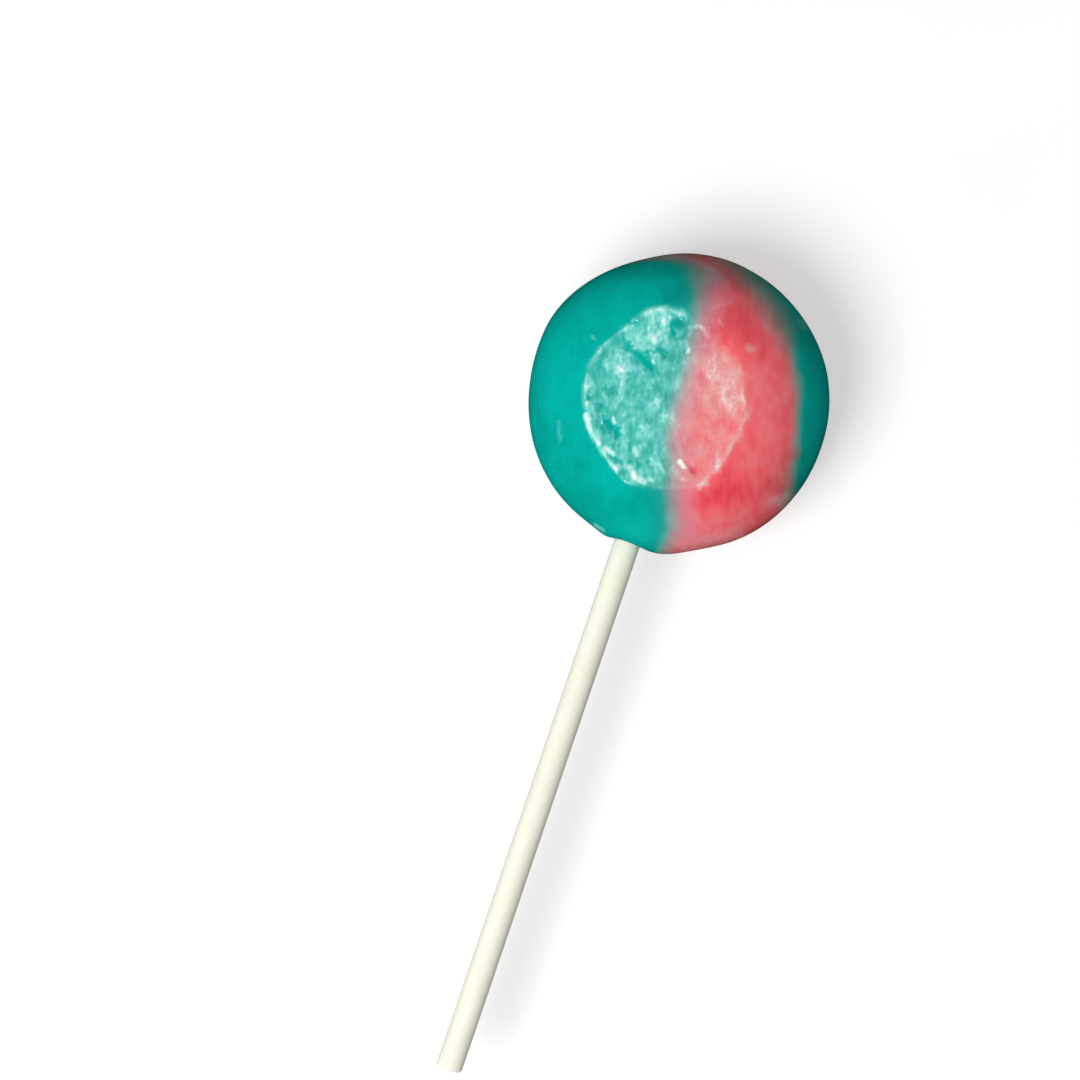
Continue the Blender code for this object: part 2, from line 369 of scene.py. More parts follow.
# How whole the chipped places and their painted glints stay where the crust is low, and how far the pink
# thins at most
CHIPS_KEPT = 1.1
THINNEST = 0.5

# Haze and painted sheen marks show on the facet, and again on the flank from this far outside it
FLANK_MARKS_FROM = 2.5 * MM

# Fineness of the meshes
ROUND_STEPS = 432
SHOWN_FACET_RINGS = 78
BACK_FACET_RINGS = 34
FLANK_RINGS = 46
FACET_RING_CROWDING = 1.2
SOCKET_STEPS = 96
SHARP_ANGLE = math.radians(40)

# The picture, and where the middle of the head and of the stick's free end fall in it, in its pixels
PICTURE_SIZE = 1080
HEAD_IN_PICTURE = (678.0, 402.3)
STICK_END_IN_PICTURE = (448.3, 1069.3)
CAMERA_LEAN = math.radians(8.8)
CAMERA_LEAN_TOWARDS = math.radians(-1.5)
CAMERA_DISTANCE = 0.62
AIM_STEPS = 60

# The lights: each direction is right, up and towards the camera in its picture
LIGHT_DISTANCE = 0.8
KEY_DIRECTION = (-0.48, -0.34, 0.81)
KEY_SIZE = 0.5
KEY_POWER = 5.8
GLINT_DIRECTION = (-0.46, -0.26, 0.85)
GLINT_SIZE = 0.1
GLINT_POWER = 1.3
ROOM_LIGHT = 0.32


def smooth_step(value):
    """0 below 0, 1 above 1, and a smooth rise between."""
    value = np.clip(value, 0.0, 1.0)
    return value * value * (3 - 2 * value)


def hump(distance, half_width):
    """1 in the middle of a smooth hump, fading away from it."""
    return np.exp(-((distance / half_width) ** 2))


def noise_at(points, size, shift=0.0):
    """Smooth noise from -1 to 1 at each point: size is one number, or one for each axis."""
    scaled = points / np.asarray(size) + shift
    return np.array([noise.noise(Vector(point)) for point in scaled])


def across_and_along_grain(x, y):
    """Distances from the head's middle, square to the sugar's fibres and along them."""
    cos_turn, sin_turn = math.cos(GRAIN_TURN), math.sin(GRAIN_TURN)
    return x * cos_turn + y * sin_turn, y * cos_turn - x * sin_turn


def in_grain(points):
    """The points turned so that X runs across the grain and Y along it."""
    across, along = across_and_along_grain(points[:, 0], points[:, 1])
    return np.stack([across, along, points[:, 2]], 1)


def swell(angle, bumps):
    """The sum of smooth bumps round the head, each with its direction, height and half width."""
    total = np.zeros_like(angle)
    for direction, height, half_width in bumps:
        away = (np.degrees(angle) - direction + 180) % 360 - 180
        total += height * hump(away, half_width)
    return total


# Marks on the shown side

def wavering(grain):
    """How far each place is drawn aside across and along the grain, so that no stroke comes out straight."""
    aside = np.zeros((len(grain), 2))
    for size, reach in WAVERS:
        for axis, shift in ((0, 11.0), (1, 23.0)):
            aside[:, axis] += reach * noise_at(grain, size, shift)
    return aside


def distance_to(places, mark):
    """How far each place is from the mark's stroke, in mm."""
    start, end = np.array(mark[0:2]), np.array(mark[2:4])
    way = end - start
    share = np.clip((places - start) @ way / (way @ way), 0.0, 1.0)
    return np.linalg.norm(places - start - share[:, None] * way, axis=1)


def soft_marks(places, marks):
    """The sum of the marks' amounts, each fading smoothly away from its stroke."""
    return sum(mark[5] * hump(distance_to(places, mark), mark[4]) for mark in marks)


def firm_marks(places, marks, ragged):
    """The largest of the marks' amounts, each halved at its half width, which ragged draws in and out."""
    strength = np.zeros(len(places))
    for mark in marks:
        firm = smooth_step(0.5 + SHARPNESS * (1 - (distance_to(places, mark) + ragged) / mark[4]))
        strength = np.maximum(strength, mark[5] * firm)
    return strength


# Mesh helpers

def mesh_over_rings(name, rings, first_tip, last_tip):
    """A closed mesh: quads between the rings, and a fan of triangles to a tip at each end."""
    steps = len(rings[0])
    points = np.vstack([*rings, [first_tip], [last_tip]])
    first, last = len(points) - 2, len(points) - 1
    last_ring = (len(rings) - 1) * steps
    faces = []
    for step in range(steps):
        after = (step + 1) % steps
        faces.append((step, after, first))
        faces.append((last_ring + after, last_ring + step, last))
        for here in range(0, last_ring, steps):
            there = here + steps
            faces.append((here + step, there + step, there + after, here + after))
    mesh = bpy.data.meshes.new(name)
    mesh.from_pydata(points.tolist(), [], faces)
    return mesh


def points_of(mesh):
    points = np.empty(len(mesh.vertices) * 3)
    mesh.vertices.foreach_get("co", points)
    return points.reshape(-1, 3)


def normals_of(mesh):
    normals = np.empty(len(mesh.vertices) * 3)
    mesh.vertices.foreach_get("normal", normals)
    return normals.reshape(-1, 3)


def put_points(mesh, points):
    mesh.vertices.foreach_set("co", points.ravel())
    mesh.update()


def put_attribute(mesh, name, values):
    made = mesh.attributes.new(name, "FLOAT", "POINT")
    made.data.foreach_set("value", values.astype(np.float32))


def object_of(mesh, *materials):
    for each in materials:
        mesh.materials.append(each)
    made = bpy.data.objects.new(mesh.name, mesh)
    bpy.context.scene.collection.objects.link(made)
    return made


# The head's form

def rim_radius(angle):
    return HEAD_RADIUS + swell(angle, RIM_SWELLS)


def facet_radius(angle):
    across, along = across_and_along_grain(np.cos(angle), np.sin(angle))
    return 1 / np.hypot(across / FACET_HALF_ACROSS, along / FACET_HALF_ALONG) + swell(angle, FACET_SWELLS)


def edge_rounding(angle):
    return EDGE_ROUNDING + swell(angle, EDGE_SOFTENINGS)


def facet_ring(angle, share, side):
    """A ring of the facet: share runs from 0 at its middle to 1 at its border."""
    radius = facet_radius(angle) * share
    height = np.full_like(angle, HALF_THICKNESS * (1 + side))
    return np.stack([radius * np.cos(angle), radius * np.sin(angle), height], 1)


def flank_ring(angle, share, side):
    """A ring of the flank: share runs from 0 at the facet's border to 1 at the rim."""
    width = rim_radius(angle) - FLANK_STARTS
    power = 2 / FLANK_FULLNESS
    start = np.arcsin(((facet_radius(angle) - FLANK_STARTS) / width) ** (1 / power))
    crown = HALF_THICKNESS / np.cos(start) ** power
    turn = start + (math.pi / 2 - start) * share
    radius = FLANK_STARTS + width * np.sin(turn) ** power
    height = crown * np.maximum(0.0, np.cos(turn)) ** power
    x, y = radius * np.cos(angle), radius * np.sin(angle)
    dent = DENT_DEPTH * hump(x - DENT_OFFSET, DENT_HALF_WIDTH) * hump(height, DENT_HALF_WIDTH)
    return np.stack([x, np.where(y < 0, y + dent, y), HALF_THICKNESS + side * height], 1)


def head_rings():
    """Rings of points from the middle of the shown facet over the rim to the middle of the back one."""
    angle = np.arange(ROUND_STEPS) * (2 * math.pi / ROUND_STEPS)
    halves = []
    for side, facet_rings in ((1, SHOWN_FACET_RINGS), (-1, BACK_FACET_RINGS)):
        rings = []
        for step in range(1, facet_rings + 1):
            share = 1 - (1 - step / facet_rings) ** FACET_RING_CROWDING
            rings.append(facet_ring(angle, share, side))
        for step in range(1, FLANK_RINGS + 1):
            rings.append(flank_ring(angle, step / FLANK_RINGS, side))
        halves.append(rings)
    return halves[0] + halves[1][-2::-1]


class HeadSurface:
    """What the relief and the colours need to know about each point of the head."""

    def __init__(self, points):
        self.points = points
        self.angle = np.arctan2(points[:, 1], points[:, 0])
        self.shown = points[:, 2] > HALF_THICKNESS
        self.marked = smooth_step(1 + (points[:, 2] - HALF_THICKNESS) / RIM_FADE)
        inset = facet_radius(self.angle) - np.hypot(points[:, 0], points[:, 1])
        self.inset = np.where(self.shown, inset, -HEAD_RADIUS)
        self.back_inset = np.where(self.shown, -HEAD_RADIUS, inset)
        self.edge = edge_rounding(self.angle)
        grain = in_grain(points)
        aside = wavering(grain)
        self.places = (grain[:, :2] + aside) / MM
        coarse = noise_at(grain, CREST_SIZE)
        fine = noise_at(grain, FINE_CREST_SIZE, shift=7.3)
        self.crests = np.clip(0.5 + COARSE_CRESTS * coarse + FINE_CRESTS * fine, 0.0, 1.0)
        self.streaks = noise_at(grain, STREAK_SIZE, shift=5.2)
        self.patches = noise_at(grain, PATCH_SIZE, shift=9.7)
        ragged = RAGGEDNESS * fine
        self.gaps = np.where(self.shown, firm_marks(self.places, GAPS, ragged), 0.0)
        # The chipped places' marks also carry painted glints
        chip_places = (grain[:, :2] + CHIP_WAVER * aside) / MM
        broken = smooth_step(CHIPS_KEPT + coarse)
        self.chips_and_glints = np.where(self.shown, firm_marks(chip_places, CHIPS_AND_GLINTS, ragged) * broken, 0.0)
        self.find_band(grain)

    def find_band(self, grain):
        """Sets how far each point is past the band's left edge, and how pink and how lilac it is."""
        points = self.points
        turn = BAND_TWIST * smooth_step(1 - points[:, 2] / HALF_THICKNESS)
        x = points[:, 0] * np.cos(turn) - points[:, 1] * np.sin(turn)
        y = points[:, 0] * np.sin(turn) + points[:, 1] * np.cos(turn)
        across, along = across_and_along_grain(x, y)
        left = LEFT_EDGE + LEFT_SWING * np.tanh((along - LEFT_SWING_AT) / LEFT_SWING_LENGTH)
        left -= LEFT_DIP * hump(along - LEFT_DIP_AT, LEFT_DIP_HALF_LENGTH)
        left -= LEFT_CURL * np.maximum(0.0, LEFT_CURL_FROM - along) ** 2
        low = smooth_step((SPREAD_BELOW + HALF_THICKNESS - points[:, 2]) / SPREAD_SOFTNESS)
        left -= SPREAD * low * smooth_step((along - SPREAD_FROM) / SPREAD_SOFTNESS)
        bow = np.where(along > RIGHT_BOW_AT, RIGHT_BOW_ABOVE, RIGHT_BOW_BELOW)
        right = RIGHT_EDGE - bow * (along - RIGHT_BOW_AT) ** 2
        wobble = BAND_WOBBLE * noise_at(grain, WOBBLE_SIZE, shift=3.1)
        wobble += BAND_FRAY * noise_at(grain, FRAY_SIZE, shift=8.6)
        left_widens = smooth_step((along - LEFT_WIDENS_FROM) / LEFT_WIDENS_OVER)
        right_widens = smooth_step((along - RIGHT_WIDENS_FROM) / RIGHT_WIDENS_OVER)
        self.past_left = across - left + wobble - LEFT_LEAN * left_widens
        left_blend = LEFT_BLEND + LEFT_WIDENS_BY * left_widens
        right_blend = RIGHT_BLEND + RIGHT_WIDENS_BY * right_widens
        into_left = smooth_step(self.past_left / left_blend + 0.5)
        into_right = smooth_step((right - across + RIGHT_WAVERS_BY * wobble) / right_blend + 0.5)
        thin = self.marked * np.clip(soft_marks(self.places, THIN_PINK), 0.0, THINNEST)
        self.pink = into_left * into_right * (1 - thin)
        self.lilac = hump(self.past_left - LILAC_AT, LILAC_HALF_WIDTH) * (1 - low)

    def frost_and_sheen(self):
        """How frosted the surface is, with painted sheen: 0 where it is glassy, and near 1 in the whitest
        crust. The whiteness is partly the crust's own frosting and partly painted sheen, with a painted
        highlight along the lip and painted glints in the flecks.
        """
        inset, edge = self.inset, self.edge
        inside = smooth_step(0.5 + inset / edge)
        patchy = 1 + PATCHINESS * self.patches * (1 - LESS_PATCHY_PINK * self.pink)
        haze = EVEN_HAZE * smooth_step(inset / edge) * patchy
        haze += soft_marks(self.places, HAZE_AND_SHEEN)
        lip = hump(inset - LIP_INSET, LIP_HALF_WIDTH) * EDGE_ROUNDING / edge
        haze += LIP_HIGHLIGHT * lip * np.maximum(0.0, 1 + 2 * self.patches)
        grit = CREST_GRIT * (self.crests - 0.5) + STREAK_GRIT * self.streaks
        grit *= 1 - LESS_GRITTY_PINK * self.pink
        on_flank = np.where(inset < -FLANK_MARKS_FROM, self.marked, 0.0)
        strength = np.clip(haze, 0.0, 1.0) * (1 + grit) * np.maximum(inside, on_flank)
        brightest = FLECKS + HAZE_FLECKS * np.clip(haze - HAZE_FLECKS_FROM, 0.0, HAZE_FLECKS_OVER)
        flecks = smooth_step((self.crests - FLECKS_FROM) / FLECKS_OVER) * brightest
        flecks = flecks * inside * (1 - LESS_FLECKED_PINK * self.pink)
        shown = (strength + flecks) * (1 - self.gaps)
        back = smooth_step(self.back_inset / EDGE_ROUNDING) * (BACK_HAZE + BACK_CRUST * self.crests)
        return shown + back

    def depth(self):
        """How deep the colour is, from 0 where it is palest to 1: the sugar's own tone, with painted shade
        in the crust's hollows and near the rims, and painted highlights where marks are paler.
        """
        grain = in_grain(self.points)
        clouds = CLOUD_DEPTH * noise_at(grain, CLOUD_SIZE, shift=4.4)
        blotches = BLOTCH_DEPTH * noise_at(grain, BLOTCH_SIZE, shift=6.1)
        beside = DEEPER_BY * hump(self.past_left - DEEP_BESIDE, DEEP_HALF_WIDTH)
        beside -= PALER_BY * hump(self.past_left - PALE_BESIDE, PALE_HALF_WIDTH)
        trough_shade = TROUGH_SHADE * (0.5 - self.crests) * smooth_step(self.inset / self.edge)
        marks = self.marked * soft_marks(self.places, TONE_SHADE_AND_HIGHLIGHT_MARKS)
        return np.clip(EVEN_DEPTH + clouds + blotches + beside + trough_shade + marks, 0.0, 1.0)


def roughen(mesh):
    """Gives the plain head its relief. Only the lip, the chipped places and a slow swell stand out of it."""
    points = points_of(mesh)
    surface = HeadSurface(points)
    inset, edge = surface.inset, surface.edge
    inside = smooth_step(inset / LIP_INSET)
    slow = UNEVENNESS * noise_at(points * (1, 1, 0), UNEVENNESS_SIZE) * inside
    lip = LIP_HEIGHT * hump(inset - LIP_INSET, LIP_HALF_WIDTH) * EDGE_ROUNDING / edge
    pits = CRUST_DEPTH * (1 - surface.crests) * inside
    marks = CHIP_HEIGHT * surface.chips_and_glints - GAP_DEPTH * surface.gaps
    rounded = EDGE_SLOPE * np.maximum(0.0, edge - np.abs(inset)) ** 2 / (4 * edge)
    points[:, 2] += np.where(inset > 0, slow + lip - pits + marks, 0.0)
    points[:, 2] -= np.where(surface.shown, rounded, 0.0)
    points[:, 2] += CRUST_DEPTH * (1 - surface.crests) * smooth_step(surface.back_inset / LIP_INSET)
    points[:, 2] = np.minimum(points[:, 2], HEAD_TOP)
    put_points(mesh, points)

    flank = smooth_step(-np.maximum(inset, surface.back_inset) / LIP_INSET)
    waves = WAVE_DEPTH * (0.5 + 0.5 * noise_at(points, WAVE_SIZE, shift=1.7))
    wander = sum(reach * np.sin(waves_round * surface.angle) for waves_round, reach in SEAM_WAVES)
    broken = smooth_step(SEAM_KEPT + noise_at(points, SEAM_BREAK_SIZE, shift=5.0))
    seam = SEAM_DEPTH * hump(points[:, 2] - HALF_THICKNESS - wander, SEAM_HALF_WIDTH) * broken
    put_points(mesh, points - normals_of(mesh) * (flank * (waves + seam))[:, None])


def cut_socket(head):
    """Cuts the stick's snug socket out of the head, down to the stick's buried end."""
    mouth = -HEAD_RADIUS - STICK_DIAMETER
    form = bmesh.new()
    bmesh.ops.create_cone(
        form,
        cap_ends=True,
        segments=SOCKET_STEPS,
        radius1=STICK_RADIUS + SEAT_GAP,
        radius2=STICK_RADIUS + SEAT_GAP,
        depth=BURIED_END + SEAT_GAP - mouth,
        matrix=Matrix.Translation((STICK_X, (BURIED_END + SEAT_GAP + mouth) / 2, HALF_THICKNESS))
        @ Matrix.Rotation(math.pi / 2, 4, "X"),
    )
    bmesh.ops.recalc_face_normals(form, faces=form.faces)
    mesh = bpy.data.meshes.new("socket_cutter")
    form.to_mesh(mesh)
    form.free()
    cutter = object_of(mesh)
    socket = head.modifiers.new("socket", "BOOLEAN")
    socket.operation = "DIFFERENCE"
    socket.solver = "EXACT"
    socket.object = cutter
    bpy.context.view_layer.update()
    cut = bpy.data.meshes.new_from_object(head.evaluated_get(bpy.context.evaluated_depsgraph_get()))
    head.modifiers.clear()
    head.data = cut
    bpy.data.objects.remove(cutter)


def build_head(sugar):
    mesh = mesh_over_rings("sugar_head", head_rings(), (0, 0, 2 * HALF_THICKNESS), (0, 0, 0))
    roughen(mesh)
    head = object_of(mesh, sugar)
    cut_socket(head)
    mesh = head.data
    surface = HeadSurface(points_of(mesh))
    # Besides the sugar's own colours these carry painted light: shade and highlights in the depth, sheen and
    # a lip highlight in the frosting, and glints on the chipped places
    put_attribute(mesh, "pink", surface.pink)
    put_attribute(mesh, "lilac", surface.lilac)
    put_attribute(mesh, "depth", surface.depth())
    put_attribute(mesh, "frost_and_sheen", surface.frost_and_sheen())
    put_attribute(mesh, "chip_and_glint", surface.chips_and_glints)
    mesh.shade_smooth()
    mesh.set_sharp_from_angle(angle=SHARP_ANGLE)
    return head


# The stick's form

STICK_STEPS = 96
STICK_RINGS = 220
STICK_END_RINGS = 16
STICK_ROUNDING = 0.55 * MM
STICK_ROUNDING_RINGS = 8
PAPER_LAYER = 0.22 * MM
PAPER_GROOVE = 0.035 * MM
PAPER_DENTS = 0.012 * MM
PAPER_DENT_SIZE = (1.2 * MM, 6.0 * MM, 1.2 * MM)
CORE_HOLLOW = 0.05 * MM
PAPER_EDGE_STEP = 0.05 * MM
PAPER_EDGE_TURN = math.radians(205)


def stick_ring(angle, along, radius):
    """A ring of the roll, whose outer edge stands up by a step that fades round it."""
    round_share = ((angle - PAPER_EDGE_TURN) / (2 * math.pi)) % 1.0
    rolled = radius - PAPER_EDGE_STEP * round_share * radius / STICK_RADIUS
    x = STICK_X + rolled * np.cos(angle)
    z = HALF_THICKNESS + rolled * np.sin(angle)
    return np.stack([x, np.full_like(angle, along), z], 1)


def end_groove(angle, radius):
    """Depth of the spiral line between the paper's layers on the roll's end."""
    turns = radius / PAPER_LAYER - (angle - PAPER_EDGE_TURN) / (2 * math.pi)
    return PAPER_GROOVE * (0.5 + 0.5 * np.cos(2 * math.pi * turns))


def stick_rings():
    """Rings from the middle of the free end, round its edge and along the stick to the buried end."""
    angle = np.arange(STICK_STEPS) * (2 * math.pi / STICK_STEPS)
    flat_radius = STICK_RADIUS - STICK_ROUNDING
    rings = []
    for step in range(1, STICK_END_RINGS + 1):
        radius = flat_radius * step / STICK_END_RINGS
        ring = stick_ring(angle, FREE_END, radius)
        ring[:, 1] += end_groove(angle, radius)
        rings.append(ring)
    for step in range(1, STICK_ROUNDING_RINGS + 1):
        turn = math.pi / 2 * step / STICK_ROUNDING_RINGS
        radius = flat_radius + STICK_ROUNDING * math.sin(turn)
        rings.append(stick_ring(angle, FREE_END + STICK_ROUNDING * (1 - math.cos(turn)), radius))
    straight = BURIED_END - FREE_END - 2 * STICK_ROUNDING
    for step in range(1, STICK_RINGS + 1):
        along = FREE_END + STICK_ROUNDING + straight * step / STICK_RINGS
        rings.append(stick_ring(angle, along, STICK_RADIUS))
    rings.append(stick_ring(angle, BURIED_END, flat_radius))
    return rings


def build_stick(paper):
    first_tip = (STICK_X, FREE_END + CORE_HOLLOW, HALF_THICKNESS)
    last_tip = (STICK_X, BURIED_END, HALF_THICKNESS)
    mesh = mesh_over_rings("rolled_stick", stick_rings(), first_tip, last_tip)
    points = points_of(mesh)
    outward = (points - (STICK_X, 0, HALF_THICKNESS)) * (1, 0, 1)
    dents = PAPER_DENTS * (1 - noise_at(points, PAPER_DENT_SIZE))
    put_points(mesh, points - outward / STICK_RADIUS * dents[:, None])
    form = bmesh.new()
    form.from_mesh(mesh)
    bmesh.ops.recalc_face_normals(form, faces=form.faces)
    form.to_mesh(mesh)
    form.free()
    mesh.shade_smooth()
    mesh.set_sharp_from_angle(angle=SHARP_ANGLE)
    return object_of(mesh, paper)


# Materials

def add(tree, kind, values=None, **settings):
    """A new node: settings are its properties, values its inputs, each a number, a colour or a socket."""
    made = tree.nodes.new(kind)
    for name, value in settings.items():
        setattr(made, name, value)
    for name, value in (values or {}).items():
        if isinstance(value, bpy.types.NodeSocket):
            tree.links.new(value, made.inputs[name])
        else:
            made.inputs[name].default_value = value
    return made


def attribute(tree, name):
    return add(tree, "ShaderNodeAttribute", attribute_name=name).outputs["Fac"]


def sum_up(tree, operation, *values, clamp=False):
    """One step of arithmetic on numbers or sockets."""
    values = dict(enumerate(values))
    return add(tree, "ShaderNodeMath", values, operation=operation, use_clamp=clamp).outputs[0]


def blend(tree, share, first, second):
    """The first colour where share is 0, and the second where it is 1."""
    made = add(tree, "ShaderNodeMix", {0: share, 6: first, 7: second}, data_type="RGBA")
    return made.outputs[2]


def remap(tree, value, from_low, from_high, to_low=0.0, to_high=1.0):
    """The value stretched from the first range to the second, and kept inside it."""
    values = {0: value, 1: from_low, 2: from_high, 3: to_low, 4: to_high}
    return add(tree, "ShaderNodeMapRange", values, clamp=True).outputs[0]


def grain_noise(tree, size):
    """Noise with features of this size across the grain, along it and through the head."""
    place = add(tree, "ShaderNodeTexCoord").outputs["Object"]
    turned = add(
        tree,
        "ShaderNodeVectorRotate",
        {"Vector": place, "Angle": -GRAIN_TURN},
        rotation_type="Z_AXIS",
    ).outputs[0]
    scale = [1 / each for each in size]
    scaled = add(tree, "ShaderNodeMapping", {"Vector": turned, "Scale": scale}).outputs[0]
    values = {"Vector": scaled, "Scale": 1.0, "Detail": 3.0, "Roughness": 0.5}
    return add(tree, "ShaderNodeTexNoise", values).outputs["Fac"]


def new_material(name):
    made = bpy.data.materials.new(name)
    made.use_nodes = True
    return made, made.node_tree, made.node_tree.nodes["Principled BSDF"]


# The sugar's colours, and how white it is where its colour is all haze; the haze and the white also carry
# painted sheen and glints
PALE_TEAL = (0.0, 0.48, 0.415, 1)
TEAL = (0.0, 0.425, 0.365, 1)
DEEP_TEAL = (0.0, 0.33, 0.27, 1)
HAZY_TEAL = (0.24, 0.72, 0.65, 1)
PALE_PINK = (0.86, 0.225, 0.25, 1)
PINK = (0.88, 0.13, 0.15, 1)
DEEP_PINK = (0.77, 0.048, 0.078, 1)
HAZY_PINK = (0.80, 0.37, 0.36, 1)
LILAC = (0.30, 0.36, 0.48, 1)
CRUST_AND_GLINT_WHITE = (0.95, 0.98, 0.95, 1)
HAZE_AT = 0.36

# The fibres in the colour and the speckle of the crust, across the grain, along it and through the head
FIBRE_SIZE = (0.4 * MM, 4.5 * MM, 2.5 * MM)
SPECKLE_SIZE = (0.3 * MM, 0.42 * MM, 0.5 * MM)

# How white the painted glints on the chipped places are, and how rough those places and the glassy places
# are beside the crust
PAINTED_GLINT_WHITENESS = 0.85
CHIP_ROUGHNESS = 0.3
GLASSY_ROUGHNESS = 0.02


def banded_colour(tree, pink, lilac, depth):
    """Teal and pink, each deeper in places, partly by its own tone and partly by painted shade, and paler
    where highlights are painted, blending in fibres with a little lilac between on one side.
    """
    fibres = grain_noise(tree, FIBRE_SIZE)
    ribbed = sum_up(tree, "ADD", depth, remap(tree, fibres, 0.3, 0.7, -0.08, 0.08), clamp=True)
    teal = blend(tree, remap(tree, ribbed, 0.0, 0.4), PALE_TEAL, TEAL)
    teal = blend(tree, remap(tree, ribbed, 0.4, 1.0), teal, DEEP_TEAL)
    red = blend(tree, remap(tree, ribbed, 0.0, 0.5), PALE_PINK, PINK)
    red = blend(tree, remap(tree, ribbed, 0.5, 1.0), red, DEEP_PINK)
    not_pink = sum_up(tree, "SUBTRACT", 1.0, pink)
    mixing = sum_up(tree, "MULTIPLY", sum_up(tree, "MULTIPLY", pink, not_pink), 4.0)
    streaks = sum_up(tree, "MULTIPLY", remap(tree, fibres, 0.3, 0.7, -0.1, 0.1), mixing)
    share = sum_up(tree, "ADD", pink, streaks, clamp=True)
    banded = blend(tree, share, teal, red)
    return blend(tree, sum_up(tree, "MULTIPLY", lilac, LILAC_SHARE), banded, LILAC)


def sugar_material():
    """Glassy boiled sugar in two colours, hazy and then white where its crust is frosted and where sheen,
    highlights and glints are painted.
    """
    material, tree, shader = new_material("boiled_sugar")
    names = ("pink", "lilac", "depth", "frost_and_sheen", "chip_and_glint")
    pink, lilac, depth, frost_and_sheen, chip_and_glint = (attribute(tree, name) for name in names)
    speckle = grain_noise(tree, SPECKLE_SIZE)
    # The frosting's white, with its painted sheen, lip highlight and glints, goes into the colour from here
    crust_and_sheen = sum_up(tree, "MULTIPLY", frost_and_sheen, remap(tree, speckle, 0.34, 0.66, 0.8, 1.2))
    white = sum_up(tree, "ADD", crust_and_sheen, sum_up(tree, "MULTIPLY", chip_and_glint, PAINTED_GLINT_WHITENESS), clamp=True)

    banded = banded_colour(tree, pink, lilac, depth)
    hazy = blend(tree, pink, HAZY_TEAL, HAZY_PINK)
    colour = blend(tree, remap(tree, white, 0.0, HAZE_AT), banded, hazy)
    colour = blend(tree, remap(tree, white, HAZE_AT, 1.0), colour, CRUST_AND_GLINT_WHITE)

    tree.links.new(colour, shader.inputs["Base Color"])
    tree.links.new(remap(tree, white, 0.0, 0.5, 0.25, 0.5), shader.inputs["Roughness"])
    shader.inputs["Specular IOR Level"].default_value = 0.05
    shader.inputs["Coat Weight"].default_value = 0.3
    shader.inputs["Coat Roughness"].default_value = 0.07
    shader.inputs["Subsurface Weight"].default_value = 0.3
    shader.inputs["Subsurface Radius"].default_value = (1.0, 0.6, 0.5)
    shader.inputs["Subsurface Scale"].default_value = 0.7 * MM
    relief = sum_up(tree, "MULTIPLY", speckle, sum_up(tree, "ADD", crust_and_sheen, GLASSY_ROUGHNESS))
    relief = sum_up(tree, "ADD", relief, sum_up(tree, "MULTIPLY", chip_and_glint, CHIP_ROUGHNESS))
    bump = add(tree, "ShaderNodeBump", {"Height": relief, "Strength": 0.6, "Distance": 0.12 * MM})
    tree.links.new(bump.outputs[0], shader.inputs["Normal"])
    tree.links.new(bump.outputs[0], shader.inputs["Coat Normal"])
    return material


PAPER = (0.875, 0.86, 0.75, 1)
PAPER_PALE = (0.91, 0.90, 0.79, 1)
PAPER_YELLOW = (0.90, 0.89, 0.72, 1)
PAPER_DARK = (0.80, 0.79, 0.69, 1)


def paper_material():
    """Matt cream paper: soft pale and yellower patches, and long fibres."""
    material, tree, shader = new_material("rolled_paper")
    place = add(tree, "ShaderNodeTexCoord").outputs["Object"]

    def paper_noise(round_size, along_size, detail):
        scale = (1 / round_size, 1 / along_size, 1 / round_size)
        scaled = add(tree, "ShaderNodeMapping", {"Vector": place, "Scale": scale}).outputs[0]
        values = {"Vector": scaled, "Scale": 1.0, "Detail": detail}
        return add(tree, "ShaderNodeTexNoise", values).outputs["Fac"]

    clouds = paper_noise(1.8 * MM, 5.0 * MM, 3.0)
    stains = paper_noise(2.6 * MM, 3.8 * MM, 1.0)
    fibres = paper_noise(0.18 * MM, 1.1 * MM, 4.0)
    colour = blend(tree, remap(tree, clouds, 0.35, 0.68), PAPER, PAPER_PALE)
    colour = blend(tree, remap(tree, stains, 0.52, 0.72, 0.0, 0.6), colour, PAPER_YELLOW)
    colour = blend(tree, remap(tree, fibres, 0.5, 0.75, 0.0, 0.3), colour, PAPER_DARK)
    tree.links.new(colour, shader.inputs["Base Color"])
    tree.links.new(remap(tree, fibres, 0.3, 0.7, 0.62, 0.82), shader.inputs["Roughness"])
    shader.inputs["Specular IOR Level"].default_value = 0.2
    shader.inputs["Subsurface Weight"].default_value = 0.7
    shader.inputs["Subsurface Radius"].default_value = (1.0, 0.95, 0.8)
    shader.inputs["Subsurface Scale"].default_value = 1.4 * MM
    height = sum_up(tree, "ADD", fibres, clouds)
    bump = add(tree, "ShaderNodeBump", {"Height": height, "Strength": 0.25, "Distance": 0.04 * MM})
    tree.links.new(bump.outputs[0], shader.inputs["Normal"])
    return material


FLOOR_PALE = (0.51, 0.51, 0.51, 1)
FLOOR_PALER = (0.53, 0.53, 0.53, 1)
FLOOR_GLOW = 0.5
FLOOR_HALF_SIZE = 1.5


